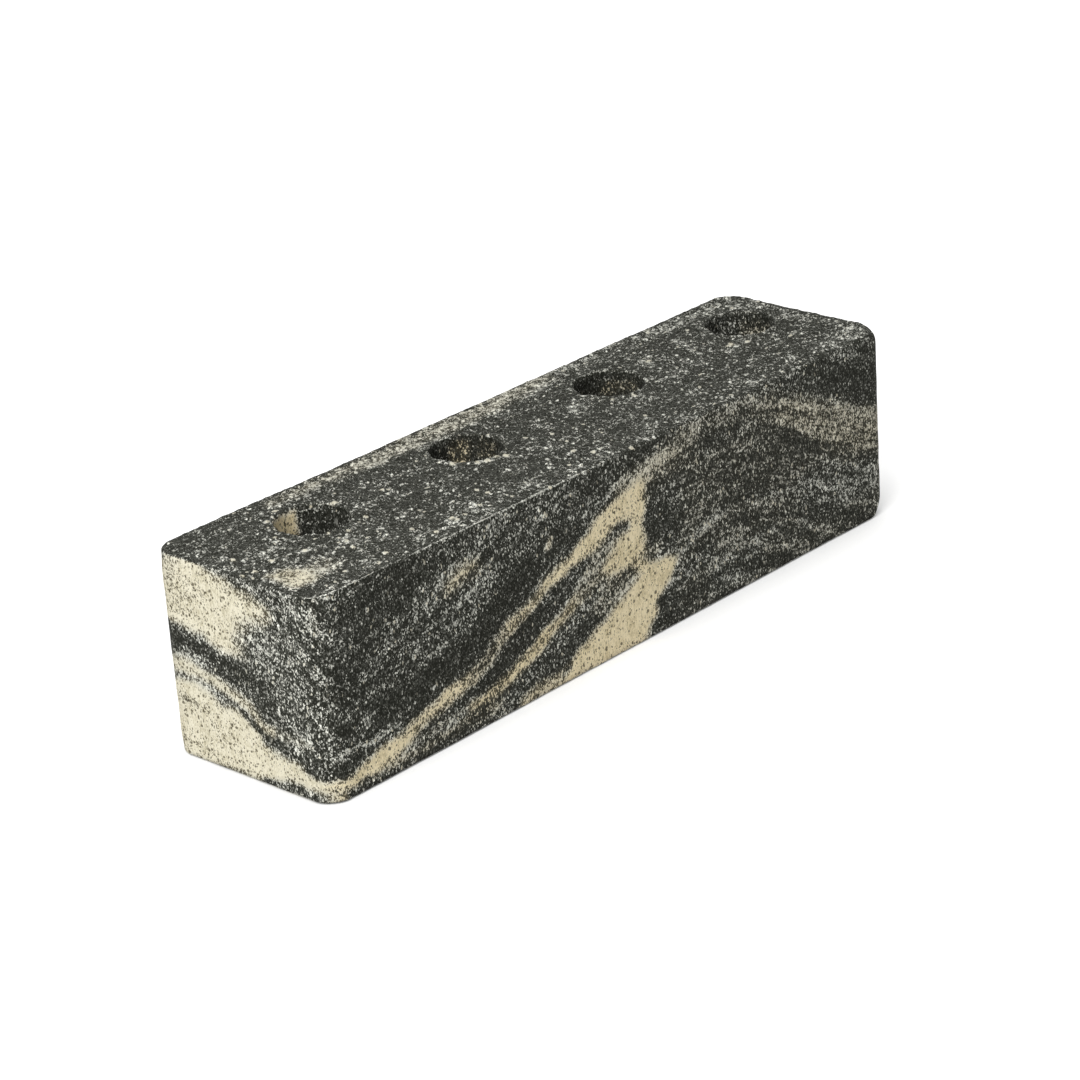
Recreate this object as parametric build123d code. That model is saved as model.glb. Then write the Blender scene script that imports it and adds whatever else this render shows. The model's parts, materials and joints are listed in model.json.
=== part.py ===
from build123d import *
import os

# A slender perforated clay brick, extruded upright through a die and cut to height by a wire.
# Lengths are in millimetres. The origin is the middle of the lower bed face, +X runs along the
# brick towards the end that the row of holes sits nearer to, and +Z is up.

# Fired brick
length = 250.0
width = 64.0
height = 62.0

# Upright corners, rounded by the die, and the arrises left by the cutting wire
corner_radius = 7.0
arris_radius = 0.7

# Row of round holes, made by the die's cores and open at both beds
hole_radius = 11.0
hole_rim_radius = 0.4
hole_count = 4
first_hole_inset = 39.5
last_hole_inset = 21.5
row_inset = 23.5


def hole_centres():
    """Centres of the holes in the bed, evenly spaced between the insets from the two ends."""
    first_x = -length / 2 + first_hole_inset
    last_x = length / 2 - last_hole_inset
    row_y = width / 2 - row_inset
    pitch = (last_x - first_x) / (hole_count - 1)
    return [(first_x + place * pitch, row_y) for place in range(hole_count)]


def die_section():
    """Section of the clay column: a rectangle with round corners, less the cores."""
    outline = RectangleRounded(length, width, corner_radius)
    cores = [Pos(x, y) * Circle(hole_radius) for x, y in hole_centres()]
    return outline - cores


def beds(solid):
    """The lower and upper bed, the two flat faces that the wire cuts."""
    return solid.faces().filter_by(Axis.Z)


def soften_hole_rims(solid):
    """Round the mouths of the holes at both beds."""
    rims = [edge for bed in beds(solid) for mouth in bed.inner_wires() for edge in mouth.edges()]
    return fillet(rims, hole_rim_radius)


def soften_arrises(solid):
    """Round the outer edges of both beds."""
    arrises = [edge for bed in beds(solid) for edge in bed.outer_wire().edges()]
    return fillet(arrises, arris_radius)


def brick():
    """One brick, cut from the column and softened at its edges."""
    blank = extrude(die_section(), amount=height)
    return soften_arrises(soften_hole_rims(blank))


os.makedirs("parts", exist_ok=True)
export_step(brick(), "parts/brick.step")
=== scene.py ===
import json
import math

import bpy
import numpy as np
from mathutils import Matrix, Vector, noise
from mathutils.geometry import delaunay_2d_cdt


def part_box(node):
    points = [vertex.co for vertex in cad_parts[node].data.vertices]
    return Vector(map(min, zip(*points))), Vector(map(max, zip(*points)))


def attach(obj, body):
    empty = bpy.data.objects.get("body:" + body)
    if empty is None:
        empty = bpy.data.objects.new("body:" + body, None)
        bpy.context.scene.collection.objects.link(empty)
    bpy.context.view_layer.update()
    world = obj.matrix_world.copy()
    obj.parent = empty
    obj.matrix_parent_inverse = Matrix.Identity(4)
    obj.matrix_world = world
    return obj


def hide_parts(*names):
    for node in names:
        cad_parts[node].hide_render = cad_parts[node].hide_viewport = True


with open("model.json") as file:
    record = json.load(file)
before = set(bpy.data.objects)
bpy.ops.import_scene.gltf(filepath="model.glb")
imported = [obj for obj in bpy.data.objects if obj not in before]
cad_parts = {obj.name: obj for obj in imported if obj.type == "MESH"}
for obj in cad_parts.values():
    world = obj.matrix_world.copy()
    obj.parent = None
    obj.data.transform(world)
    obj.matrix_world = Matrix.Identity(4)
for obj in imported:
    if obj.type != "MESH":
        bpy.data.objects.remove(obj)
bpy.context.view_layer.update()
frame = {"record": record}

# Lengths are in metres
mm = 0.001

# Solid brick: its box and holes from the frame, and its round edges
low_corner, high_corner = (np.array(corner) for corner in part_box("brick"))
length, width, height = high_corner - low_corner
half_size = (high_corner - low_corner) / 2
box_middle = (low_corner + high_corner) / 2
bores = [mount for mount in frame["record"]["mounts"] if mount["kind"] == "bore"]
hole_centres = [np.array(bore["pos_m"][:2]) for bore in bores]
hole_radius = bores[0]["dims"]["r_mm"] * mm
rim_radius = (height - bores[0]["dims"]["length_mm"] * mm) / 2
corner_radius = 7.0 * mm
arris_radius = 0.7 * mm

# Mesh of the skin
side_step = 1.2 * mm
upper_bed_step = 0.57 * mm
lower_bed_step = 2.2 * mm
hole_turn_step = 1.0 * mm
hole_rise_step = 2.0 * mm
edge_steps = 2
grid_seed = 7
grid_shake_share = 0.15
grid_clear_share = 0.55
sheet_gap = 2.0 * mm
weld_gap = 0.000001 * mm
squeezed_hole_share = 0.47

# Relief of the skin: how far it stands off the smooth solid, and over what distance
sag_depth = 0.22 * mm
sag_span = 48.0 * mm
lump_depth = 0.10 * mm
lump_span = 9.0 * mm
side_grain_depth = 0.10 * mm
bed_grain_depth = 0.15 * mm
grain_span = 2.3 * mm
drag_stretch_share = 2.2
flake_depth = 0.40 * mm
flake_span = 1.4 * mm
flake_detail_share = 0.5
flake_full_level = 0.45
flake_bed_share = 0.3
flake_pale_strength = 2.5
flake_pale_bed_share = 0.35
crumb_depth = 0.4 * mm
crumb_core_share = 0.7
crumb_warm_share = 0.7
pluck_depth = 0.7 * mm
pluck_span = 3.2 * mm
pluck_level = 0.25
edge_wear_depth = 0.25 * mm
edge_chip_depth = 0.5 * mm
edge_chip_span = 3.6 * mm
edge_calm_reach = 2.5 * mm
edge_calm_share = 0.75
rim_tear_depth = 0.6 * mm
rim_tear_span = 2.4 * mm
rim_tear_reach = 2.6 * mm
rim_lip_share = 0.45
rim_pale_strength = 0.9
corner_wear_depth = 0.45 * mm
corner_wear_reach = 7.0 * mm
highest_stand = 0.5 * mm

# Corners worn off flat: the way each faces, and its depth as a share of the corner radius
worn_corner_shares = [((1, -1, 2), 0.25), ((1, -1, -1), 0.30)]
worn_corner_softness = 1.3 * mm

# Ragged edges of the clay bands, and scuffs along the upper front edge
band_warp_depth = 0.9 * mm
band_warp_span = 6.5 * mm
band_fray_depth = 0.6 * mm
band_fray_span = 2.0 * mm
swirl_depth = 2.5 * mm
swirl_span = 24.0 * mm
cream_level_shares = (0.4, 0.7)
face_cutoff_share = 0.001
scuff_share = 0.85
scuff_span = 26.0 * mm
scuff_break_span = 1.6 * mm
scuff_break_levels = (-0.7, 0.2)
scuff_facing_shares = (0.1, 0.5)
scuff_fade_shares = (0.38, 0.54)


def vein(level, blur, *points, warm=None):
    """A band along points of (across, up, half thickness), in percent of the face's length and height.

    Level is the percent of pale grains, blur the percent of the height over which the edge fades, and
    warm how cream the pale grains are, where that doesn't follow from the level.
    """
    return {"closed": False, "level": level, "blur": blur, "points": points, "warm": warm}


def patch(level, blur, *points, warm=None):
    """A patch inside the outline through points of (across, up), in the same percents."""
    return {"closed": True, "level": level, "blur": blur, "points": points, "warm": warm}


# Clay of each face: its ground, how far its cream is tinted warmer and brighter by painted warm fill
# light, the line that wisps follow, and bands in order
front_shares = {
    "ground": 8,
    "painted_fill": 75,
    "flow": [(0, 8), (12, 14), (24, 30), (40, 60), (54, 84), (66, 93), (74, 93), (86, 71), (100, 48)],
    "bands": [
        patch(12, 13, (58, 0), (100, 0), (100, 60), (80, 80), (60, 82), warm=12),
        patch(13, 13, (0, 45), (15, 48), (17, 74), (8, 81), (5, 100), (0, 100)),
        patch(4, 10, (9, 78), (17, 79), (23, 88), (26, 100), (10, 100)),
        vein(24, 8, (2, 87, 3), (6, 89, 3), (10, 90, 2)),
        vein(30, 12, (10, 62, 4), (15, 67, 5), (20, 74, 6), (25, 81, 7), (28.5, 89, 7), (31, 97, 5)),
        vein(48, 10, (20.5, 76, 2.5), (22.5, 79, 3.5), (24.5, 79.5, 2.5), warm=75),
        patch(50, 8, (41, 23), (52, 25), (52, 40), (46, 40), warm=20),
        patch(46, 8, (41, 44), (48, 44), (49, 62), (43.5, 60), warm=20),
        patch(14, 10, (32, 68), (44, 81), (50, 90), (50, 100), (34, 100)),
        vein(36, 9, (43, 77, 3), (46, 82, 4), (50, 86, 4)),
        patch(19, 12, (64, 4), (75, 4), (74, 22), (65, 24)),
        patch(14, 10, (82, 16), (98, 16), (98, 44), (82, 44)),
        patch(8, 12, (80, 84), (88, 74), (100, 60), (100, 100), (80, 100)),
        patch(28, 8, (89, 91), (94, 90), (94, 100), (89, 100)),
        vein(1.5, 9, (6, 36, 3), (10, 34.5, 6), (14, 36, 7.5), (20, 40, 8), (25, 49, 6.5),
             (29, 59.5, 5.5), (34, 69, 4.5), (39, 77, 3.5)),
        vein(4, 4, (18, 15, 1.5), (22, 20, 2.5), (26, 25.5, 4), (30, 31.5, 4.5), (34, 39, 4),
             (38, 47, 4), (43, 57, 2.5)),
        vein(7, 5, (25, 6, 2.5), (30, 8, 4), (34, 14.5, 4), (38, 21, 5.5), (41, 26.5, 5.5),
             (43, 24, 3)),
        vein(36, 9, (10, 7, 3), (15, 8, 3.5), (20, 9, 4), (26, 10, 4), warm=50),
        vein(10, 3, (4, 2.5, 0.8), (7, 3, 1.5), (11, 2.5, 1.5), (16, 2, 1.5), (22, 2.5, 2)),
        vein(8, 3, (2, 18.5, 1.6), (6, 19, 1.8), (10, 20.5, 1.6), (12, 22, 1)),
        vein(8, 6, (55, 76, 3), (55, 67, 2.4)),
        vein(18, 9, (56, 42, 3.5), (56.5, 50, 3.5), (58, 58, 3)),
        vein(44, 7, (47, 39.5, 3), (51, 40, 3), (55, 44, 2.5), warm=35),
        vein(7, 6, (56, 19, 3), (60, 25, 5), (64, 29, 5)),
        vein(60, 4, (36.5, 71, 0.8), (36.7, 75, 1)),
        vein(40, 14, (50, 80.5, 7), (54, 83, 8), (58, 85.5, 8), (62, 89, 7), warm=34),
        vein(22, 14, (61, 91, 6), (64, 94, 5), (68, 94, 5), (73, 91, 6), (77, 86, 6), warm=20),
        vein(17, 16, (77, 86, 6), (82, 76, 8), (88, 63, 9), (94, 52, 10), (100, 47, 9), warm=28),
        vein(38, 13, (79, 82, 4.5), (82, 78, 6), (84.5, 73, 5), warm=36),
        vein(25, 16, (81, 78, 4), (84, 72, 6), (88, 63, 10), (91, 56, 11), (95, 50, 11), (98, 46, 8),
             warm=36),
        vein(42, 4, (1, 23.5, 1.2), (4, 22.5, 1.5), (7, 23, 1.6), (11, 23.5, 1.2)),
        vein(40, 4, (0, 47, 1.6), (2.5, 42, 1.5), (5, 36, 1.6), (7.5, 33.5, 1.3)),
        vein(38, 5, (59, 33, 2), (61, 38.5, 1.7), (64, 43.5, 2.2), (67.5, 47, 2.6)),
        vein(30, 5, (72, 47, 1.6), (76, 43, 2), (79, 38.5, 1.6), (82, 36, 1.5)),
        vein(30, 5, (73, 23.5, 1.6), (76, 24, 2), (78.5, 21, 1.6)),
        vein(42, 5, (11.5, 10.5, 2.6), (15, 9, 1.8), (19, 11, 2), (22.5, 13, 2)),
        vein(68, 7, (35, 29, 3), (38.5, 34.5, 3), (41, 39, 2.6)),
        vein(48, 7, (41, 39, 2.4), (47, 47, 3), warm=40),
        vein(68, 5, (22.5, 13, 2), (26, 15.5, 2.8), (30, 19.5, 3.5), (34, 26, 3.8), (36, 31, 2.4)),
        vein(84, 5, (24, 14, 1.4), (28, 17, 2.2), (32, 23, 2.8), (35, 28.5, 2.6)),
        vein(66, 6, (11.5, 14.5, 3.6), (14, 19.5, 2.8), (17, 22.5, 3.3), (20, 25.5, 4), (23, 28, 3.4)),
        vein(46, 8, (23, 28, 3.6), (26, 34.5, 3.4), (29.5, 42.5, 3.2), warm=60),
        vein(64, 6, (29.5, 42.5, 3), (33, 48, 2.7), (36, 54, 3), (39, 58.5, 3)),
        vein(94, 5, (0, 8, 2.8), (4, 8.5, 2.8), (8, 12, 5), (10.5, 14, 4.2)),
        vein(86, 5, (36, 54, 1.5), (39, 58, 2.5), (42.5, 62.5, 4.5), (45, 66, 3)),
        patch(93, 7, (41, 60), (43.5, 68.5), (45, 75), (49, 80), (52.5, 83), (53.5, 80), (53.5, 70),
              (52.7, 60), (53.5, 46), (51, 42), (46.5, 42.5), (45.5, 46), (46.5, 51), (48, 56),
              (49, 59), (50.5, 61), (50.2, 65), (48.8, 66.5), (47.2, 64.8), (46.2, 62), (43.8, 59)),
        patch(96.5, 5.5, (36, 0), (36.5, 4), (38, 8.5), (41, 14.5), (45, 21), (49.5, 28.5), (51.5, 34),
              (53, 37.5), (57, 38), (59, 33.5), (57, 25), (54.5, 17), (54.5, 11), (53, 6), (52, 0)),
        vein(60, 6, (31, 2, 3), (34, 4, 4), (37, 4, 4)),
        vein(8, 4, (37.5, 5, 1), (38.8, 7, 1.4)),
        vein(82, 6, (51.2, 43, 3.4), (52.6, 37, 3.4)),
        vein(64, 5, (51.6, 64, 1.2), (51.9, 60.5, 1.2)),
        vein(4, 2, (48, 63.5, 1.4), (49, 64.5, 1.6)),
        vein(4, 2, (50, 61.5, 1.3), (50.3, 63, 1.3)),
        patch(96, 4, (0, 0), (2.6, 0), (2.2, 4), (0, 6)),
    ],
}
near_end_shares = {
    "ground": 19,
    "painted_fill": 0,
    "flow": [(0, 61), (31, 53), (62, 39), (100, 23)],
    "bands": [
        patch(16, 8, (30, 98), (66, 98), (70, 86), (100, 88), (100, 100), (30, 100)),
        patch(12, 10, (52, 20), (58, 24), (66, 34), (68, 50), (54, 54)),
        patch(13, 12, (78, 40), (96, 40), (96, 55), (78, 55)),
        patch(42, 14, (46, 58), (62, 58), (77, 72), (77, 82), (62, 88), (48, 78)),
        vein(5, 5, (0, 60, 9.5), (16, 59.5, 9.2), (31, 55.5, 8), (45, 52, 6.5), (56, 47.5, 6.5),
             (65, 42, 5)),
        vein(32, 5, (9, 52.5, 1.6), (24, 52.5, 2.2), (34, 51, 1.8)),
        vein(64, 6, (0, 46, 3.5), (16, 46, 4), (27, 44.5, 2.8), (39, 42, 3), (48, 39.5, 3),
             (54, 36.5, 2.6), (58, 33.5, 2)),
        vein(34, 5, (12, 41, 0.8), (25, 39, 1.2), (37, 36, 1.7), (48, 34, 1.4)),
        patch(93, 6, (0, 98), (8, 96.5), (14, 97), (20, 99), (31, 99), (41, 96), (52, 93), (62, 90.5),
              (71, 88), (73, 84), (67, 81), (59, 80), (53, 74), (48, 69), (52, 65), (51, 60),
              (47, 59.5), (37, 61), (28, 65), (19, 66), (0, 68.5)),
        patch(92, 6, (0, 36), (10, 38), (20, 38.5), (28, 36), (37, 33), (48, 31.5), (55, 27), (60, 24),
              (63, 20), (72, 17.5), (83, 16), (91, 13), (100, 10.5), (100, 5.5), (87, 7), (78, 7),
              (69, 5), (59, 3), (47, 1.5), (0, 0)),
        vein(62, 6, (0, 26, 2.5), (8, 29, 2.5), (20, 28, 1.6)),
        vein(76, 8, (14, 89, 4), (24, 87, 5), (34, 88, 4)),
        patch(62, 7, (0, 96), (11, 95), (15, 90), (11, 86), (0, 86)),
        vein(66, 7, (10, 98, 1), (24, 98, 1.5), (40, 95, 2), (55, 91.5, 2.5), (69, 88, 2)),
        vein(56, 10, (72, 86, 1), (64, 81, 2), (56, 77, 3), (51, 70, 3), (52, 63, 3)),
        patch(28, 10, (78, 68), (92, 60), (100, 66), (96, 86), (80, 90)),
        patch(13, 8, (92, 90), (100, 87), (100, 100), (90, 100)),
        vein(12, 3, (59, 2, 1.2), (72, 3.5, 1.7), (82, 4.5, 1.6), (89, 3, 1)),
        vein(50, 5, (66, 28.5, 2), (75, 27.5, 2.1), (84, 27.5, 2.4), (89, 26.5, 1.4)),
        vein(70, 5, (59, 30.5, 2), (63, 28.5, 2.8), (67, 28, 2)),
        vein(10, 4, (62, 22.5, 1.9), (75, 23.5, 1.6), (87, 22, 2.2), (100, 21, 3)),
        vein(8, 3, (87, 15.5, 1.3), (94, 14.5, 1.5)),
        vein(50, 4, (96, 82, 0.6), (96.5, 99, 0.9)),
    ],
}
back_shares = {
    "ground": 19,
    "painted_fill": 45,
    "flow": [(0, 45), (20, 53), (46, 74), (60, 80), (100, 66)],
    "bands": [
        vein(6, 6, (0, 60, 8), (12, 61, 7), (24, 70, 6), (38, 80, 5.5), (52, 87, 5)),
        vein(6, 6, (24, 36, 5), (36, 42, 5.5), (52, 52, 5.5), (68, 52, 5)),
        vein(66, 6, (0, 45, 4), (10, 47, 4), (20, 53, 3.5), (32, 64, 3.5), (46, 74, 4), (60, 80, 3.5),
             (76, 76, 3), (100, 66, 6)),
        vein(74, 6, (44, 13, 2.5), (56, 22, 4), (68, 27, 5), (80, 24, 4), (93, 13, 2.5)),
        patch(93, 5, (0, 95), (0, 69), (8, 71), (18, 81), (28, 89), (38, 94), (52, 97), (66, 98),
              (66, 100), (24, 100), (10, 98)),
        patch(94, 5, (0, 36), (8, 34), (18, 27), (28, 19), (37, 10), (40, 0), (0, 0)),
    ],
}
far_end_shares = {
    "ground": 19,
    "painted_fill": 75,
    "flow": [(0, 54), (31, 58), (62, 66), (100, 66)],
    "bands": [
        vein(7, 6, (0, 80, 6), (46, 84, 6), (100, 88, 6)),
        vein(50, 8, (0, 52, 8), (31, 58, 5.5), (62, 66, 4), (100, 66, 6)),
        vein(50, 6, (16, 13, 2.5), (55, 22, 3.5), (100, 13, 2.5)),
    ],
}
upper_bed_shares = {
    "ground": 8,
    "painted_fill": 0,
    "flow": [(0, 50), (100, 50)],
    "bands": [
        vein(5, 12, (18, 31, 8), (28, 39, 8), (36, 34, 8)),
        vein(5, 12, (46, 70, 6), (52, 66, 8)),
        vein(13, 12, (0, 70, 10), (8, 55, 12)),
        vein(15, 12, (8, 6, 4), (20, 8, 5), (32, 9, 5), (44, 6, 6), (60, 3, 6), (76, 3, 6)),
        vein(16, 9, (19, 7, 3), (24, 9, 4), (30, 12, 4)),
        vein(21, 9, (12.5, 24, 5), (14, 36, 5)),
        vein(30, 10, (90, 6, 5), (98, 10, 7)),
        vein(22, 8, (98, 20, 4), (98, 80, 4)),
        vein(41, 10, (16, 92, 3), (24, 92, 5), (32, 91, 7), (42, 91, 8), (52, 91, 7), (60, 94, 5),
             (70, 94, 4), warm=40),
        vein(28, 10, (66, 94, 6), (84, 93, 6), (97, 88, 6)),
        vein(15, 14, (60, 62, 8), (72, 60, 10), (84, 58, 10)),
        vein(42, 6, (74, 67, 3), (76, 70, 3)),
        vein(36, 8, (84, 45, 4), (88, 50, 4)),
        patch(52, 10, (1.6, 14), (3.6, 13), (5, 19), (7, 17), (9.6, 20), (9, 28), (6, 31), (4, 34),
              (2, 33)),
        patch(80, 8, (1.6, 16), (5, 15.5), (5.8, 25), (4.4, 33), (2, 34)),
    ],
}
lower_bed_shares = {
    "ground": 15,
    "painted_fill": 40,
    "flow": [(0, 40), (40, 60), (100, 46)],
    "bands": [
        vein(6, 8, (21, 100, 6), (25, 62, 6), (23, 31, 5)),
        vein(6, 8, (62, 0, 6), (64, 30, 6), (58, 60, 7), (62, 100, 6)),
        vein(60, 8, (40, 100, 7), (45, 74, 5), (54, 50, 4), (72, 40, 5), (100, 46, 8)),
        patch(92, 6, (31.5, 0), (52, 0), (55, 22), (51, 47), (42, 60), (34, 47), (30, 22)),
        patch(88, 6, (0, 9), (0, 94), (9, 94), (16, 75), (19, 47), (12, 22), (5, 8)),
    ],
}

# Large crumbs on the upper bed: percent across and up, and radius in percent of the width
crumb_shares = [
    (0.6, 44, 1.5), (2.0, 42, 1.7), (2.8, 59, 1.4), (5.2, 45, 1.8), (9.2, 41, 1.4), (9.8, 62, 1.3),
    (12.8, 25.6, 1.4), (13.6, 32.8, 1.2), (13.7, 38, 1.3), (13.8, 10.2, 1.4), (20.9, 7.4, 1.3),
    (24.9, 9.3, 1.3), (26.4, 10.6, 1.2), (29.2, 12.1, 1.5), (12.5, 77, 1.3), (13.8, 45, 1.2),
    (15.1, 83.4, 1.8), (15.7, 40, 1.4), (19.6, 45, 1.5), (20.5, 67.5, 2.0), (24.8, 12.5, 1.5),
    (26.4, 61, 1.3), (32.4, 19, 1.6), (36.5, 55.3, 1.7), (38.4, 47, 1.2), (39.4, 44.5, 1.7),
    (41, 44, 1.4), (41.8, 41.7, 1.9), (47.2, 20, 1.5), (62.2, 48, 1.3), (64.6, 42, 1.5),
    (74.8, 67, 1.8), (84.8, 48, 2.0), (86.8, 44, 1.7),
]

# Hole walls: a ground with few pale grains, a painted shade that darkens them inside, and patches: hole,
# turn and half spread in degrees, then shares: ends, pale, cream
hole_painted_shade_ground_share = 0.04
hole_turn_warp = 4.0
hole_turn_blur = 6.0
hole_rise_warp_share = 0.03
hole_rise_blur_share = 0.02
hole_patch_shares = [
    (0, 114, 44, 0.55, 0.985, 0.80, 1.0),
    (1, 58, 18, 0.78, 0.97, 0.17, 0.8),
    (1, 12, 20, 0.88, 0.97, 0.09, 0.6),
    (2, 40, 18, 0.86, 0.95, 0.10, 0.6),
    (2, 5, 16, 0.86, 0.96, 0.08, 0.5),
    (3, 12, 28, 0.84, 0.96, 0.06, 0.3),
]

# Clay, as linear colours
darkest_clay_color = (0.013, 0.0135, 0.0095, 1.0)
dim_clay_color = (0.115, 0.117, 0.10, 1.0)
brown_clay_color = (0.16, 0.135, 0.082, 1.0)
dim_grain_color = (0.27, 0.27, 0.235, 1.0)
bright_grain_color = (0.90, 0.90, 0.81, 1.0)
# Cream and deep cream each come in a second, brighter and warmer colour, which paints warm fill light on
# the faces turned from the key
cream_color = (0.85, 0.80, 0.635, 1.0)
painted_fill_cream_color = (0.97, 0.83, 0.54, 1.0)
deep_cream_color = (0.56, 0.51, 0.36, 1.0)
painted_fill_deep_cream_color = (0.62, 0.51, 0.29, 1.0)
clay_roughness = 0.85
clay_specular = 0.1

# Grains of the clay, how pale, dim and cream they are, and the crumbs and pits among them
fine_grain = 0.30 * mm
coarse_grain = 0.55 * mm
coarse_share = 0.18
coarse_torn_share = 0.06
grain_blur_share = 0.11
grain_blur_drop_share = 0.08
grain_fray = 0.13 * mm
grain_fray_span = 0.4 * mm
drag_share = 0.60
chunk = 0.85 * mm
chunk_share = 0.03
chunk_torn_share = 0.24
chunk_bright_share = 0.35
wall_bright_share = 0.10
torn_bright_share = 0.08
grey_power = 1.5
dim_power = 4.5
# On the torn beds the dark clay has more dim grains: partly dust, partly painted sheen
dim_torn_dust_and_sheen_power = -2.3
dim_pale_share = 0.4
stray_level = 0.7
stray_cream_share = 0.35
brown_strength = 1.6
brown_limit_share = 0.7
crumb = 2.2 * mm
crumb_share = 0.05
crumb_least_share = 0.15
crumb_spread_share = 0.25
crumb_pale_share = 0.95
crumb_cream_share = 0.5
pit = 1.1 * mm
pit_share = 0.85
pit_clump_levels = (0.4, 0.7)
pit_size_power = 2.0
pit_least_share = 0.18
pit_spread_share = 0.36
pit_blur_share = 0.08
pit_dark_share = 0.9

# Wisps, streaks and clumps that the grains gather in. All pale is just over 1, to divide by what is left
wisp_length = 13.0 * mm
wisp_thickness = 1.7 * mm
wisp_strength = 6.2
wisp_torn_share = 0.6
streak_length = 42.0 * mm
streak_thickness = 6.5 * mm
streak_strength = 5.5
clump_span = 2.4 * mm
clump_strength = 4.0
gather_span = 7.0 * mm
gather_strength = 6.0
all_pale_share = 1.001
noise_middle = 0.5
plain_detail = 1.0
mottle_detail = 2.0
fine_detail = 3.0

# Mottle, specks and drag lines of cream clay, and the small relief of the grains
mottle_span = 5.0 * mm
mottle_share = 0.6
drag_line = 0.45 * mm
drag_line_share = 0.16
line_depth_share = 0.6
speck_share = 0.35
deep_levels = (0.6, 1.1)
grain_relief = 0.2 * mm
coarse_dome_share = 0.6
fine_dome_share = 0.3
dust_rise_share = 0.5
pale_rise_share = 0.25
chunk_rise_share = 0.5
wall_bump_share = 0.45
torn_bump_share = 0.35

# Camera, fitted to the photograph
camera_aim_share = (-0.0104, 0.011, 0.447)
camera_distance = 1.002
camera_turn = math.radians(46.30)
camera_rise = math.radians(23.01)
camera_roll = math.radians(-4.0)
camera_lens_mm = 112.56

# Light and stage
key_place = Vector((-0.88, -0.30, 0.88))
key_size = 0.7
key_power = 11.6
sky_level = 0.42
floor_size = 30.0
floor_color = (0.70, 0.70, 0.69, 1.0)
floor_glow = 0.75
floor_shade_reach = 0.03
floor_shade_samples = 2
white_color = (1.0, 1.0, 1.0, 1.0)


def smooth_noise(places, span):
    """Smooth noise from about -1 to 1 at each place. Span is one length, or one for each axis."""
    return np.array([noise.noise(place) for place in (places / np.asarray(span)).tolist()])


def smooth_step(low, high, values):
    """0 up to low and 1 from high, with a smooth rise between."""
    share = np.clip((values - low) / (high - low), 0.0, 1.0)
    return share * share * (3.0 - 2.0 * share)


def wall_strip(facing, half_run, depth, step):
    """One upright side in plan, from the middle of one round corner to the middle of the next."""
    outward = np.array([math.cos(facing), math.sin(facing)])
    along = np.array([-outward[1], outward[0]])
    half_straight = half_run - corner_radius
    half_travel = half_straight + corner_radius * math.pi / 4
    count = round(2 * half_travel / step)
    travel = np.linspace(-half_travel, half_travel, count + 1)
    on_straight = np.clip(travel, -half_straight, half_straight)
    turn = (travel - on_straight) / corner_radius
    normals = np.outer(np.cos(turn), outward) + np.outer(np.sin(turn), along)
    centres = np.outer(on_straight, along) + (depth - corner_radius) * outward
    places = centres + corner_radius * normals
    return {"travel": travel + half_travel, "normals": normals, "places": places}


def side_strips(step):
    """The four sides in plan, counter-clockwise from the front."""
    half_length, half_width = half_size[:2]
    return [
        wall_strip(-math.pi / 2, half_length, half_width, step),
        wall_strip(0.0, half_width, half_length, step),
        wall_strip(math.pi / 2, half_length, half_width, step),
        wall_strip(math.pi, half_width, half_length, step),
    ]


def hole_strip(centre, step):
    """The wall of one hole in plan, clockwise, with normals towards its axis."""
    count = round(2 * math.pi * hole_radius / step)
    turn = -np.linspace(0.0, 2 * math.pi, count + 1)
    outward = np.stack([np.cos(turn), np.sin(turn)], axis=1)
    return {"travel": -turn * hole_radius, "normals": -outward, "places": centre + hole_radius * outward}


def wall_rows(edge_radius, step):
    """Rows of a wall from the lower bed to the upper one, as (inset, height, tilt, travel)."""
    straight = height - 2 * edge_radius
    count = round(straight / step)
    curve = np.linspace(0.0, math.pi / 2, edge_steps + 1)
    tilts = np.concatenate([curve - math.pi / 2, np.zeros(count - 1), curve])
    climb = np.linspace(0.0, straight, count + 1)
    rises = np.concatenate([np.zeros(edge_steps), climb, np.full(edge_steps, straight)])
    insets = edge_radius * (1 - np.cos(tilts))
    levels = low_corner[2] + edge_radius + rises + edge_radius * np.sin(tilts)
    travels = rises + edge_radius * (tilts + math.pi / 2)
    return insets, levels, tilts, travels


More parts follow.
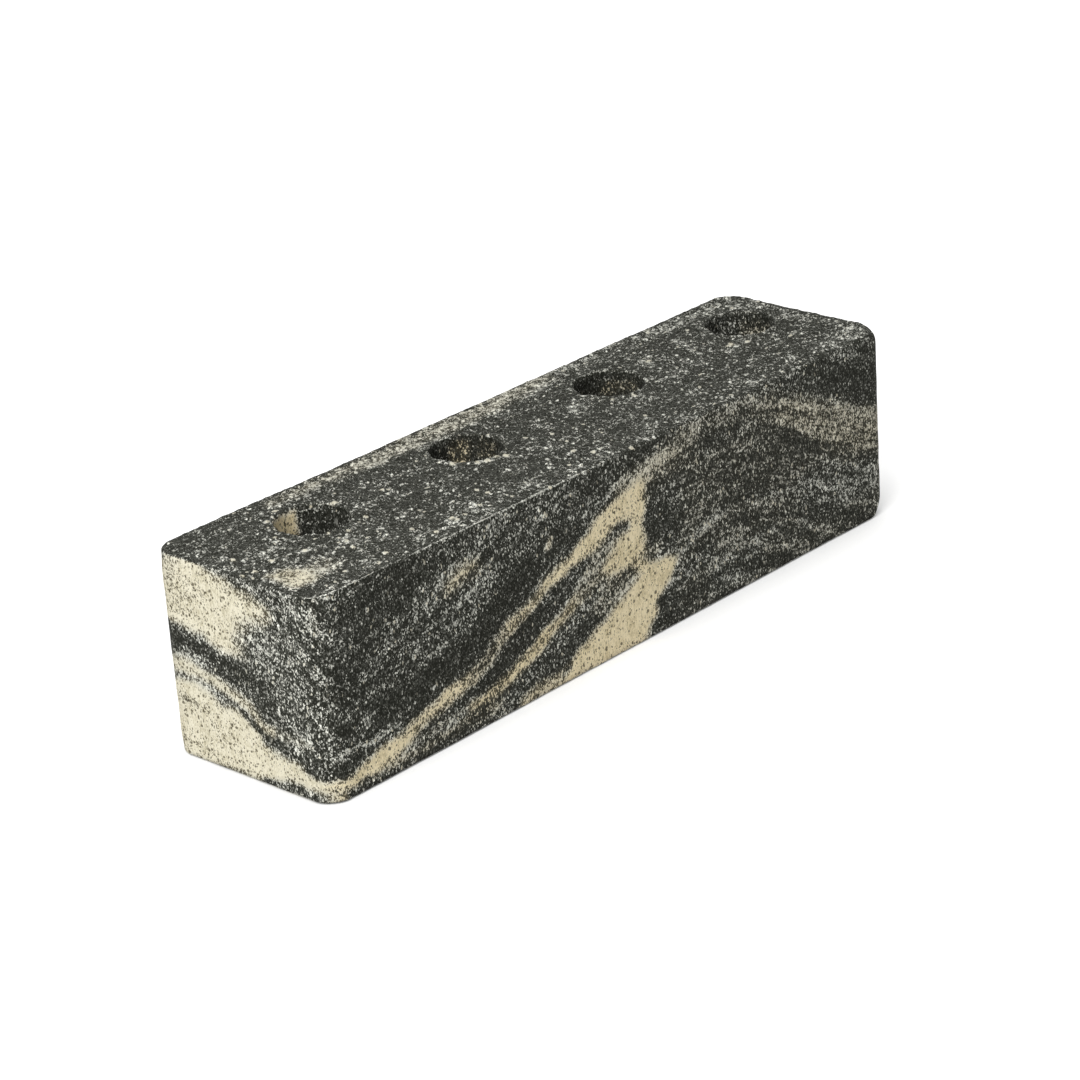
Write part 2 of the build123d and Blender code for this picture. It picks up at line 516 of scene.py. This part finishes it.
class Skin:
    """The brick's surface as it is put together: points, normals, and faces with their sheet places."""

    def __init__(self):
        self.points = []
        self.normals = []
        self.count = 0
        self.faces = []
        self.sheet = []

    def add_points(self, points, normals):
        first = self.count
        self.points.append(points)
        self.normals.append(normals)
        self.count += len(points)
        return first

    def add_wall(self, strips, edge_radius, step, islands):
        """A closed wall round the strips. Returns the points of its lower and upper edge."""
        insets, levels, tilts, travels = wall_rows(edge_radius, step)
        places = np.concatenate([strip["places"][:-1] for strip in strips])
        outward = np.concatenate([strip["normals"][:-1] for strip in strips])
        columns = len(places)
        rows = len(levels)
        plan = places[None] - insets[:, None, None] * outward[None]
        heights = np.broadcast_to(levels[:, None, None], (rows, columns, 1))
        points = np.concatenate([plan, heights], axis=2).reshape(-1, 3)
        flat = np.cos(tilts)[:, None, None] * outward[None]
        upward = np.broadcast_to(np.sin(tilts)[:, None, None], (rows, columns, 1))
        normals = np.concatenate([flat, upward], axis=2).reshape(-1, 3)
        first = self.add_points(points, normals)
        column = 0
        for strip, island in zip(strips, islands):
            steps = len(strip["travel"]) - 1
            for place in range(steps):
                left = column + place
                right = (left + 1) % columns
                for row in range(rows - 1):
                    base = first + row * columns
                    above = base + columns
                    self.faces.append((base + left, base + right, above + right, above + left))
                    near_u, far_u = island[0] + strip["travel"][place:place + 2]
                    low_v, high_v = island[1] + travels[row:row + 2] * island[2]
                    lower = [(near_u, low_v), (far_u, low_v)]
                    self.sheet.extend(lower + [(far_u, high_v), (near_u, high_v)])
            column += steps
        lower_edge = first + np.arange(columns)
        return lower_edge, lower_edge + (rows - 1) * columns

    def add_bed(self, loops, step, upper, island, chance):
        """A flat bed between the outer loop and the hole loops, which hold points already there."""
        everything = np.concatenate(self.points)
        rims = [everything[loop][:, :2] for loop in loops]
        inside = bed_grid(step, chance)
        level = high_corner[2] if upper else low_corner[2]
        upward = 1.0 if upper else -1.0
        added = np.column_stack([inside, np.full(len(inside), level)])
        first = self.add_points(added, np.tile([0.0, 0.0, upward], (len(inside), 1)))
        numbers = np.concatenate(loops + [first + np.arange(len(inside))])
        flat = np.concatenate(rims + [inside])
        edges = []
        start = 0
        for rim in rims:
            count = len(rim)
            edges.extend((start + place, start + (place + 1) % count) for place in range(count))
            start += count
        corners = [Vector(place) for place in flat]
        triangles = np.array(delaunay_2d_cdt(corners, edges, [], 1, weld_gap)[2])
        middles = flat[triangles].mean(axis=1)
        solid = np.ones(len(triangles), bool)
        for centre in hole_centres:
            solid &= np.hypot(*(middles - centre).T) > hole_radius + rim_radius
        triangles = triangles[solid]
        near, second, third = (flat[triangles[:, corner]] for corner in range(3))
        run_x, run_y = (second - near).T
        next_x, next_y = (third - near).T
        turns_left = run_x * next_y > run_y * next_x
        triangles = np.where((turns_left == upper)[:, None], triangles, triangles[:, ::-1])
        self.faces.extend(numbers[triangles].tolist())
        across, along = (flat[triangles.ravel()] - low_corner[:2]).T
        self.sheet.extend(zip(island[0] + across, island[1] + (along if upper else width - along)))


def bed_grid(step, chance):
    """Points inside a bed, on a shaken triangular grid that keeps clear of every rim."""
    row_step = step * math.sqrt(3) / 2
    rows = np.arange(low_corner[1], high_corner[1], row_step)
    columns = np.arange(low_corner[0], high_corner[0], step)
    grid = np.array([(x + step / 2 * (row % 2), y) for row, y in enumerate(rows) for x in columns])
    grid += chance.uniform(-grid_shake_share, grid_shake_share, grid.shape) * step
    clear = grid_clear_share * step
    keep = edge_inset(grid) > arris_radius + clear
    for centre in hole_centres:
        keep &= np.hypot(*(grid - centre).T) > hole_radius + rim_radius + clear
    return grid[keep]


def band_cover(band, places, size):
    """How far a band covers each place: 1 inside, 0 outside, with a blurred edge."""
    scale = np.array([size[0], size[1], size[1]])[:len(band["points"][0])]
    points = np.array(band["points"], float) / 100 * scale
    ends = np.roll(points, -1, axis=0) if band["closed"] else points[1:]
    outside = np.full(len(places), np.inf)
    inside = np.zeros(len(places), bool)
    for start, end in zip(points, ends):
        run = end[:2] - start[:2]
        share = np.clip((places - start[:2]) @ run / (run @ run), 0.0, 1.0)
        gap = np.linalg.norm(places - start[:2] - share[:, None] * run, axis=1)
        if not band["closed"]:
            gap -= start[2] + share * (end[2] - start[2])
        outside = np.minimum(outside, gap)
        if band["closed"] and run[1] != 0:
            crosses = (start[1] > places[:, 1]) != (end[1] > places[:, 1])
            reach = start[0] + (places[:, 1] - start[1]) * run[0] / run[1]
            inside ^= crosses & (places[:, 0] < reach)
    outside = np.where(inside, -outside, outside)
    blur = band["blur"] / 100 * size[1]
    return smooth_step(-blur / 2, blur / 2, -outside)


def face_clay(points, across, up, size, shares):
    """Over one face: shares of pale grains and of cream among them, and the distance off the flow."""
    warp = [
        band_warp_depth * smooth_noise(points + offset, band_warp_span)
        + band_fray_depth * smooth_noise(points - offset, band_fray_span)
        for offset in (length, 2 * length)
    ]
    places = np.column_stack([across + warp[0], up + warp[1]])
    pale = np.full(len(points), shares["ground"] / 100)
    warm = np.zeros(len(points))
    for band in shares["bands"]:
        cover = band_cover(band, places, size)
        level = band["level"] / 100
        band_warm = smooth_step(*cream_level_shares, level)
        if band["warm"] is not None:
            band_warm = band["warm"] / 100
        pale += cover * (level - pale)
        warm += cover * (band_warm - warm)
    flow_line = np.array(shares["flow"], float) / 100 * np.array(size)
    drift = places[:, 1] - np.interp(places[:, 0], flow_line[:, 0], flow_line[:, 1])
    drift += swirl_depth * smooth_noise(points, swirl_span)
    return pale, warm, drift


def side_clay(points, normals):
    """Pale and warm shares, the share of painted warm fill light on the cream, and drift on the outer
    faces, which blend round the edges.
    """
    x, y, z = (points - low_corner).T
    faces = [
        (-normals[:, 1], x, z, (length, height), front_shares),
        (normals[:, 1], x, z, (length, height), back_shares),
        (-normals[:, 0], width - y, z, (width, height), near_end_shares),
        (normals[:, 0], y, z, (width, height), far_end_shares),
        (normals[:, 2], x, y, (length, width), upper_bed_shares),
        (-normals[:, 2], x, y, (length, width), lower_bed_shares),
    ]
    clay = np.zeros((4, len(points)))
    for slant, across, up, size, shares in faces:
        weight = np.maximum(slant, 0.0) ** 2
        seen = weight > face_cutoff_share
        pale, warm, drift = face_clay(points[seen], across[seen], up[seen], size, shares)
        painted_fill = np.full(len(pale), shares["painted_fill"] / 100)
        clay[:, seen] += weight[seen] * np.stack([pale, warm, painted_fill, drift])
    return clay


def hole_clay(points, hole):
    """Pale and warm shares, full painted warm fill light on the cream, and drift on the wall of one
    hole.
    """
    # Few pale grains on the wall, as painted shade inside the hole
    pale = np.full(len(points), hole_painted_shade_ground_share)
    warm = np.zeros(len(points))
    offset = points[:, :2] - hole_centres[hole]
    turn = np.degrees(np.arctan2(offset[:, 1], offset[:, 0]))
    turn += hole_turn_warp * smooth_noise(points, band_warp_span)
    rise = (points[:, 2] - low_corner[2]) / height
    rise += hole_rise_warp_share * smooth_noise(points + length, band_fray_span)
    for number, middle, spread, lower, upper, level, patch_warm in hole_patch_shares:
        if number == hole:
            aside = np.abs(turn - middle)
            cover = smooth_step(-spread - hole_turn_blur, -spread + hole_turn_blur, -aside)
            above = smooth_step(lower - hole_rise_blur_share, lower + hole_rise_blur_share, rise)
            below = smooth_step(-upper - hole_rise_blur_share, -upper + hole_rise_blur_share, -rise)
            cover *= above * below
            pale += cover * (level - pale)
            warm += cover * (patch_warm - warm)
    return np.stack([pale, warm, np.ones(len(points)), points[:, 2]])


def edge_closeness(normals):
    """1 on the rounded edges between a wall and a bed, 0 on the flats."""
    return np.clip(4 * (normals[:, 2] ** 2) * (1 - normals[:, 2] ** 2), 0.0, 1.0)


def edge_inset(points):
    """How far each point lies inside the outline of the brick in plan, up to the corner radius."""
    overhang = np.maximum(np.abs(points[:, :2]) - (half_size[:2] - corner_radius), 0.0)
    return corner_radius - np.hypot(*overhang.T)


def rim_closeness(points):
    """1 at the mouths of the holes, falling to 0 a short way off."""
    drop = np.minimum(points[:, 2] - low_corner[2], high_corner[2] - points[:, 2])
    closeness = np.zeros(len(points))
    for centre in hole_centres:
        gap = np.hypot(np.hypot(*(points[:, :2] - centre).T) - hole_radius, drop)
        closeness = np.maximum(closeness, smooth_step(-rim_tear_reach, -rim_radius, -gap))
    return closeness


def edge_scuffs(points, normals):
    """Share of pale grains that scuffs lay bare along the upper front edge."""
    stretches = smooth_noise(points, scuff_span) + smooth_noise(points, scuff_break_span)
    outer = smooth_step(-2 * arris_radius, -arris_radius, -edge_inset(points))
    front = smooth_step(*scuff_facing_shares, -normals[:, 1]) * (normals[:, 2] > 0)
    along = (points[:, 0] - low_corner[0]) / length
    near = 1 - smooth_step(*scuff_fade_shares, along)
    unbroken = smooth_step(*scuff_break_levels, stretches)
    return scuff_share * outer * front * near * edge_closeness(normals) * unbroken


def torn_crumbs(points, normals):
    """1 on the large crumbs of the upper bed, 0 beside them."""
    crumbs = np.zeros(len(points))
    for across, up, radius in np.array(crumb_shares) / 100 * (length, width, width):
        gap = np.hypot(points[:, 0] - low_corner[0] - across, points[:, 1] - low_corner[1] - up)
        crumbs = np.maximum(crumbs, smooth_step(-radius, -crumb_core_share * radius, -gap))
    return crumbs * np.maximum(normals[:, 2], 0.0)


def corner_closeness(points):
    """1 at the eight corners of the brick, falling to 0 a short way off."""
    gap = np.linalg.norm(np.abs(points - box_middle) - half_size, axis=1)
    return smooth_step(-corner_wear_reach, 0.0, -gap)


def worn_corners(points):
    """The points with the worn corners taken off, each down to a flat that faces out from the brick."""
    tip = half_size - corner_radius * (1 - math.sqrt(0.5)) * np.array([1, 1, 0])
    for facing, share in worn_corner_shares:
        outward = np.array(facing) / np.linalg.norm(facing)
        over = (points - box_middle - tip * np.sign(facing)) @ outward + share * corner_radius
        rounded = np.clip(over + worn_corner_softness, 0.0, 2 * worn_corner_softness) ** 2
        taken = rounded / (4 * worn_corner_softness) + np.maximum(over - worn_corner_softness, 0.0)
        points = points - taken[:, None] * outward
    return points


def torn_flakes(points, normals):
    """1 on the flakes that stand proud on the torn beds, 0 between them and on the smooth walls."""
    shape = smooth_noise(points + width, flake_span)
    shape += flake_detail_share * smooth_noise(points - width, flake_span / 2)
    calm = 1 - edge_calm_share * smooth_step(-edge_calm_reach, 0.0, -edge_inset(points))
    return calm * normals[:, 2] ** 2 * smooth_step(0.0, flake_full_level, shape)


def relief(points, normals):
    """How far each point of the fired skin stands off the smooth solid."""
    torn = normals[:, 2] ** 2
    sag = sag_depth * smooth_noise(points, sag_span)
    lumps = lump_depth * smooth_noise(points + length, lump_span)
    dragged = smooth_noise(points, (grain_span, grain_span, grain_span * drag_stretch_share))
    plain = smooth_noise(points + length, grain_span)
    grain = (1 - torn) * side_grain_depth * dragged + torn * bed_grain_depth * plain
    flakes = flake_depth * (torn_flakes(points, normals) - flake_bed_share * torn)
    grain += flakes + crumb_depth * torn_crumbs(points, normals)
    pluck = np.clip(smooth_noise(points - length, pluck_span) - pluck_level, 0.0, 1.0)
    chips = np.clip(smooth_noise(points + width, edge_chip_span), 0.0, 1.0) ** 2
    edge = edge_closeness(normals)
    rubbed = (1 + smooth_noise(points, lump_span)) / 2
    wear = edge * (edge_wear_depth * rubbed + edge_chip_depth * chips)
    corner = corner_wear_depth * corner_closeness(points)
    lip = rim_lip_share + smooth_noise(points - width, rim_tear_span)
    tear = rim_tear_depth * rim_closeness(points) * lip
    stand = sag + lumps + grain + tear - torn * pluck_depth * pluck - wear - corner - sag_depth / 2
    return np.minimum(stand, highest_stand)


def marbled_skin():
    """Points, faces, sheet places and clay of the whole brick."""
    chance = np.random.default_rng(grid_seed)
    skin = Skin()
    strips = side_strips(side_step)
    wall_height = wall_rows(arris_radius, side_step)[3][-1]
    hole_height = wall_rows(rim_radius, hole_rise_step)[3][-1] * squeezed_hole_share

    # On the flat sheet the sides fill two rows, and the beds two more beside the hole walls
    column = length + sheet_gap
    level = [place * (wall_height + sheet_gap) for place in range(5)]
    islands = [(left, low, 1.0) for low in level[:2] for left in (0.0, column)]
    lower_loop, upper_loop = skin.add_wall(strips, arris_radius, side_step, islands)
    lower_loops = [lower_loop]
    upper_loops = [upper_loop]
    hole_spans = []
    for number, centre in enumerate(hole_centres):
        first = skin.count
        island = (column, level[2] + number * (hole_height + sheet_gap), squeezed_hole_share)
        strip = hole_strip(centre, hole_turn_step)
        lower, upper = skin.add_wall([strip], rim_radius, hole_rise_step, [island])
        lower_loops.append(lower)
        upper_loops.append(upper)
        hole_spans.append((first, skin.count))
    skin.add_bed(upper_loops, upper_bed_step, True, (0.0, level[2]), chance)
    skin.add_bed(lower_loops, lower_bed_step, False, (0.0, level[3]), chance)

    # Flakes, rims, crumbs and scuffs add pale grains to those of the bands
    points = np.concatenate(skin.points)
    normals = np.concatenate(skin.normals)
    clay = side_clay(points, normals)
    for number, (first, last) in enumerate(hole_spans):
        deep = 1 - normals[first:last, 2] ** 2
        clay[:, first:last] += deep * (hole_clay(points[first:last], number) - clay[:, first:last])
    torn = normals[:, 2] ** 2
    lift = flake_pale_strength * (torn_flakes(points, normals) - flake_pale_bed_share * torn)
    lift = np.exp(lift + rim_pale_strength * torn * rim_closeness(points))
    pale = clay[0] * lift / (1 - clay[0] + clay[0] * lift)
    crumbs = torn_crumbs(points, normals)
    pale = np.maximum(pale, np.maximum(crumbs, edge_scuffs(points, normals)))
    warm = np.maximum(clay[1], crumb_warm_share * crumbs)
    moved = worn_corners(points) + relief(points, normals)[:, None] * normals
    moved[:, 2] = np.maximum(moved[:, 2], low_corner[2])
    sheet_size = np.array([column + 2 * math.pi * hole_radius + sheet_gap, level[4]])
    values = {"pale": pale, "warm": warm, "painted_fill": clay[2], "drift": clay[3], "torn": torn}
    return moved, skin.faces, np.array(skin.sheet) / sheet_size, values


class Recipe:
    """Adds nodes to a material or world and joins them, so that a recipe reads as a list of steps."""

    def __init__(self, owner):
        owner.use_nodes = True
        self.tree = owner.node_tree
        self.tree.nodes.clear()

    def add(self, kind, inputs=None, **settings):
        made = self.tree.nodes.new("ShaderNode" + kind)
        for name, value in settings.items():
            setattr(made, name, value)
        for name, value in (inputs or {}).items():
            self.feed(made.inputs[name], value)
        return made

    def feed(self, socket, value):
        if isinstance(value, bpy.types.NodeSocket):
            self.tree.links.new(value, socket)
        else:
            socket.default_value = value

    def calc(self, operation, *values, kind="Math"):
        made = self.add(kind, dict(enumerate(values)), operation=operation)
        return made.outputs[0]

    def shift(self, place, offset):
        return self.calc("ADD", place, offset, kind="VectorMath")

    def stretch(self, place, factors):
        return self.calc("MULTIPLY", place, factors, kind="VectorMath")

    def rise(self, value, low, high):
        """0 up to low and 1 from high, with a smooth rise between."""
        inputs = {"Value": value, "From Min": low, "From Max": high}
        made = self.add("MapRange", inputs, interpolation_type="SMOOTHSTEP")
        return made.outputs["Result"]

    def blend(self, share, first, second):
        """Colour that goes from first to second as share goes from 0 to 1."""
        inputs = {0: share, 6: first, 7: second}
        made = self.add("Mix", inputs, data_type="RGBA", clamp_factor=False)
        return made.outputs[2]

    def noise(self, place, span, detail, output="Fac"):
        inputs = {"Vector": place, "Scale": 1 / span, "Detail": detail}
        return self.add("TexNoise", inputs).outputs[output]

    def wisps(self, flow, run, thickness, detail):
        """Noise that is drawn out along the flow of the clay."""
        place = self.stretch(flow, (1 / run, 1 / run, 1 / thickness))
        return self.noise(place, 1.0, detail)

    def grains(self, place, size):
        """Distance from the nearest grain's middle, in grain sizes, and three chances of its own."""
        made = self.add("TexVoronoi", {"Vector": place, "Scale": 1 / size})
        chances = self.add("SeparateColor", {"Color": made.outputs["Color"]})
        return made.outputs["Distance"], chances.outputs

    def attribute(self, name):
        made = self.add("Attribute", attribute_name=name, attribute_type="GEOMETRY")
        return made.outputs["Fac"]

    def surface(self, inputs):
        """Ends a material in one plain shader."""
        shader = self.add("BsdfPrincipled", inputs)
        self.add("OutputMaterial", {"Surface": shader.outputs["BSDF"]})


def placed(name, data):
    """A new object in the scene."""
    made = bpy.data.objects.new(name, data)
    bpy.context.scene.collection.objects.link(made)
    return made


def marbled_clay():
    """Dark and pale clay grains, mixed in the share that the bands give at each place."""
    material = bpy.data.materials.new("marbled_clay")
    recipe = Recipe(material)
    calc = recipe.calc
    torn = recipe.attribute("torn")
    spot = recipe.add("TexCoord").outputs["Object"]
    axes = recipe.add("SeparateXYZ", {"Vector": spot}).outputs

    # The share of pale grains sways with wisps along the flow of the clay, and with clumps
    flow_axes = {"X": axes["X"], "Y": axes["Y"], "Z": recipe.attribute("drift")}
    flow = recipe.add("CombineXYZ", flow_axes).outputs[0]
    wisp = recipe.wisps(flow, wisp_length, wisp_thickness, fine_detail)
    streak = recipe.wisps(flow, streak_length, streak_thickness, plain_detail)
    clump = recipe.noise(spot, clump_span, plain_detail)
    strength = calc("MULTIPLY_ADD", torn, -wisp_torn_share * wisp_strength, wisp_strength)
    sway = calc("MULTIPLY", calc("SUBTRACT", wisp, noise_middle), strength)
    strength = calc("MULTIPLY_ADD", torn, -streak_strength, streak_strength)
    sway = calc("MULTIPLY_ADD", calc("SUBTRACT", streak, noise_middle), strength, sway)
    sway = calc("MULTIPLY_ADD", calc("SUBTRACT", clump, noise_middle), clump_strength, sway)
    gather = calc("SUBTRACT", recipe.noise(spot, gather_span, plain_detail), noise_middle)
    sway = calc("MULTIPLY_ADD", calc("MULTIPLY", gather, torn), gather_strength, sway)
    band = recipe.attribute("pale")
    lifted = calc("MULTIPLY", band, calc("EXPONENT", sway))
    pale = calc("DIVIDE", lifted, calc("ADD", lifted, calc("SUBTRACT", all_pale_share, band)))

    # Each place belongs to a coarse or a fine grain, which is pale or dark by its own chance
    place = recipe.stretch(spot, (1.0, 1.0, drag_share))
    fray = recipe.noise(place, grain_fray_span, plain_detail, "Color")
    frayed = recipe.stretch(recipe.shift(fray, (-noise_middle,) * 3), (2 * grain_fray,) * 3)
    place = recipe.shift(place, frayed)
    fine, fine_chance = recipe.grains(place, fine_grain)
    coarse, coarse_chance = recipe.grains(place, coarse_grain)
    coarse_limit = calc("MULTIPLY_ADD", torn, coarse_torn_share, coarse_share)
    is_coarse = calc("LESS_THAN", coarse_chance["Green"], coarse_limit)
    gap = calc("SUBTRACT", coarse_chance["Red"], fine_chance["Red"])
    chance = calc("MULTIPLY_ADD", is_coarse, gap, fine_chance["Red"])
    blur = calc("MULTIPLY_ADD", pale, -grain_blur_drop_share, grain_blur_share)
    blur_start = calc("MULTIPLY", blur, -1.0)
    tone = recipe.rise(calc("SUBTRACT", pale, chance), blur_start, blur)

    # Here and there a larger chunk is pale as a whole
    chunk_chance = recipe.grains(place, chunk)[1]
    chunk_limit = calc("MULTIPLY_ADD", torn, chunk_torn_share, chunk_share)
    is_chunk = calc("LESS_THAN", chunk_chance["Green"], chunk_limit)
    chunk_tone = recipe.rise(calc("SUBTRACT", pale, chunk_chance["Red"]), blur_start, blur)
    chunk_tone = calc("MULTIPLY", chunk_tone, is_chunk)
    tone = calc("MAXIMUM", tone, chunk_tone)

    # Small cream crumbs show where the beds were torn, and pale clay has pits
    crumb_gap, crumb_chance = recipe.grains(place, crumb)
    has_crumb = calc("LESS_THAN", crumb_chance["Red"], calc("MULTIPLY", torn, crumb_share))
    crumb_reach = calc("MULTIPLY_ADD", crumb_chance["Green"], crumb_spread_share, crumb_least_share)
    in_crumb = calc("MULTIPLY", has_crumb, calc("LESS_THAN", crumb_gap, crumb_reach))
    tone = calc("MAXIMUM", tone, calc("MULTIPLY", in_crumb, crumb_pale_share))
    pit_gap, pit_chance = recipe.grains(recipe.shift(spot, frayed), pit)
    pit_limit = calc("MULTIPLY", recipe.rise(clump, *pit_clump_levels), pit_share)
    has_pit = calc("LESS_THAN", pit_chance["Red"], pit_limit)
    pit_size = calc("POWER", pit_chance["Green"], pit_size_power)
    pit_reach = calc("MULTIPLY_ADD", pit_size, pit_spread_share, pit_least_share)
    pit_end = calc("ADD", pit_reach, pit_blur_share)
    in_pit = calc("MULTIPLY", has_pit, recipe.rise(pit_gap, pit_end, pit_reach))
    tone = calc("MULTIPLY", tone, calc("SUBTRACT", 1.0, calc("MULTIPLY", in_pit, pit_dark_share)))

    # Cream clay has a mottle, specks, and fine upright lines where the die dragged it
    mottle = recipe.noise(spot, mottle_span, mottle_detail)
    lines = recipe.noise(recipe.stretch(spot, (1.0, 1.0, drag_line_share)), drag_line, mottle_detail)
    depth = calc("MULTIPLY_ADD", mottle, mottle_share, calc("MULTIPLY", lines, line_depth_share))
    depth = calc("MULTIPLY_ADD", fine_chance["Blue"], speck_share, depth)
    # Faces turned from the key take the brighter, warmer cream of a painted warm fill light
    painted_fill = recipe.attribute("painted_fill")
    bright = recipe.blend(painted_fill, cream_color, painted_fill_cream_color)
    deep = recipe.blend(painted_fill, deep_cream_color, painted_fill_deep_cream_color)
    cream = recipe.blend(recipe.rise(depth, *deep_levels), bright, deep)

    # Loose pale grains are grey, and some of the coarse ones are cream
    grey_share = calc("POWER", fine_chance["Blue"], grey_power)
    grey_share = calc("MULTIPLY_ADD", chunk_tone, chunk_bright_share, grey_share)
    bright_share = calc("MULTIPLY_ADD", torn, torn_bright_share - wall_bright_share, wall_bright_share)
    grey = recipe.blend(calc("ADD", grey_share, bright_share), dim_grain_color, bright_grain_color)
    stray = calc("MULTIPLY", is_coarse, calc("GREATER_THAN", coarse_chance["Blue"], stray_level))
    band_warm = recipe.attribute("warm")
    warm = calc("MAXIMUM", band_warm, calc("MULTIPLY", stray, stray_cream_share))
    warm = calc("MAXIMUM", warm, calc("MULTIPLY", in_crumb, crumb_cream_share))

    # Dark clay has dim grains of its own, and turns brown among cream. On the torn beds it has more of
    # them, a lighter dark that is partly dust and partly painted sheen
    power = calc("MULTIPLY_ADD", torn, dim_torn_dust_and_sheen_power, dim_power)
    dim_share = calc("POWER", fine_chance["Green"], power)
    dim_share = calc("MULTIPLY_ADD", pale, dim_pale_share, dim_share)
    dark = recipe.blend(dim_share, darkest_clay_color, dim_clay_color)
    brown_share = calc("MULTIPLY", calc("MULTIPLY", band_warm, pale), brown_strength)
    dark = recipe.blend(calc("MINIMUM", brown_share, brown_limit_share), dark, brown_clay_color)
    color = recipe.blend(tone, dark, recipe.blend(warm, grey, cream))

    # Grains stand out as small domes, more so on the torn beds
    dome = calc("MULTIPLY", coarse, -coarse_dome_share)
    dome = calc("ADD", dome, calc("MULTIPLY", fine, -fine_dome_share))
    dust = recipe.noise(place, grain_fray_span, fine_detail)
    rise = calc("MULTIPLY_ADD", dust, dust_rise_share, dome)
    rise = calc("MULTIPLY_ADD", tone, pale_rise_share, rise)
    rise = calc("MULTIPLY_ADD", chunk_tone, chunk_rise_share, rise)
    strength = calc("MULTIPLY_ADD", torn, torn_bump_share, wall_bump_share)
    bump = recipe.add("Bump", {"Height": rise, "Strength": strength, "Distance": grain_relief})
    recipe.surface({
        "Base Color": color, "Normal": bump.outputs["Normal"], "Roughness": clay_roughness,
        "Specular IOR Level": clay_specular})
    return material


def marbled_brick():
    """The fired brick, which stands for the solid."""
    points, faces, sheet, values = marbled_skin()
    mesh = bpy.data.meshes.new("marbled_brick")
    mesh.from_pydata(points.tolist(), [], [tuple(map(int, face)) for face in faces])
    mesh.uv_layers.new(name="OFBake").data.foreach_set("uv", sheet.ravel())
    for name, shares in values.items():
        mesh.attributes.new(name, "FLOAT", "POINT").data.foreach_set("value", shares)
    mesh.shade_smooth()
    mesh.materials.append(marbled_clay())
    brick = placed("marbled_brick", mesh)
    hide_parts("brick")
    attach(brick, "root")


def seen_directly(recipe):
    """1 for what the camera, a reflection or a clear material sees directly, else 0."""
    path = recipe.add("LightPath")
    seen = recipe.calc("MAXIMUM", path.outputs["Is Camera Ray"], path.outputs["Is Glossy Ray"])
    return recipe.calc("MAXIMUM", seen, path.outputs["Is Transmission Ray"])


def pale_floor():
    """A pale floor that reads as white away from the brick and keeps a soft shadow beside it."""
    material = bpy.data.materials.new("pale_floor")
    recipe = Recipe(material)
    shade = recipe.add("AmbientOcclusion", {"Distance": floor_shade_reach}, samples=floor_shade_samples)
    glow = recipe.calc("MULTIPLY", shade.outputs["AO"], floor_glow)
    glow = recipe.calc("MULTIPLY", glow, seen_directly(recipe))
    recipe.surface({
        "Base Color": floor_color, "Roughness": 1.0, "Specular IOR Level": 0.0,
        "Emission Color": white_color, "Emission Strength": glow})
    half = floor_size / 2
    corners = [(-half, -half, 0.0), (half, -half, 0.0), (half, half, 0.0), (-half, half, 0.0)]
    mesh = bpy.data.meshes.new("pale_floor")
    mesh.from_pydata(corners, [], [(0, 1, 2, 3)])
    mesh.materials.append(material)
    floor = placed("pale_floor", mesh)


def studio_light():
    """A soft key from the near end and above, in an even pale room."""
    light = bpy.data.lights.new("key", "AREA")
    light.shape = "DISK"
    light.size = key_size
    light.energy = key_power
    key = placed("key", light)
    key.location = key_place
    key.rotation_euler = (-key_place).to_track_quat("-Z", "Y").to_euler()
    world = bpy.data.worlds.new("pale_room")
    recipe = Recipe(world)
    unseen = recipe.calc("SUBTRACT", 1.0, seen_directly(recipe))
    level = recipe.calc("SUBTRACT", 1.0, recipe.calc("MULTIPLY", unseen, 1.0 - sky_level))
    sky = recipe.add("Background", {"Color": white_color, "Strength": level})
    recipe.add("OutputWorld", {"Surface": sky.outputs["Background"]})
    bpy.context.scene.world = world


def photo_camera():
    """The camera of the photograph, a little above the brick and off its near corner."""
    aim = Vector(np.array(camera_aim_share) * (length, width, height))
    forward = Vector((
        math.sin(camera_turn) * math.cos(camera_rise),
        math.cos(camera_turn) * math.cos(camera_rise),
        -math.sin(camera_rise),
    ))
    lens = bpy.data.cameras.new("photo_camera")
    lens.lens = camera_lens_mm
    camera = placed("photo_camera", lens)
    turned = forward.to_track_quat("-Z", "Y").to_matrix() @ Matrix.Rotation(camera_roll, 3, "Z")
    camera.matrix_world = Matrix.Translation(aim - forward * camera_distance) @ turned.to_4x4()
    bpy.context.scene.camera = camera


marbled_brick()
pale_floor()
studio_light()
photo_camera()
bpy.context.scene.view_settings.view_transform = "Standard"
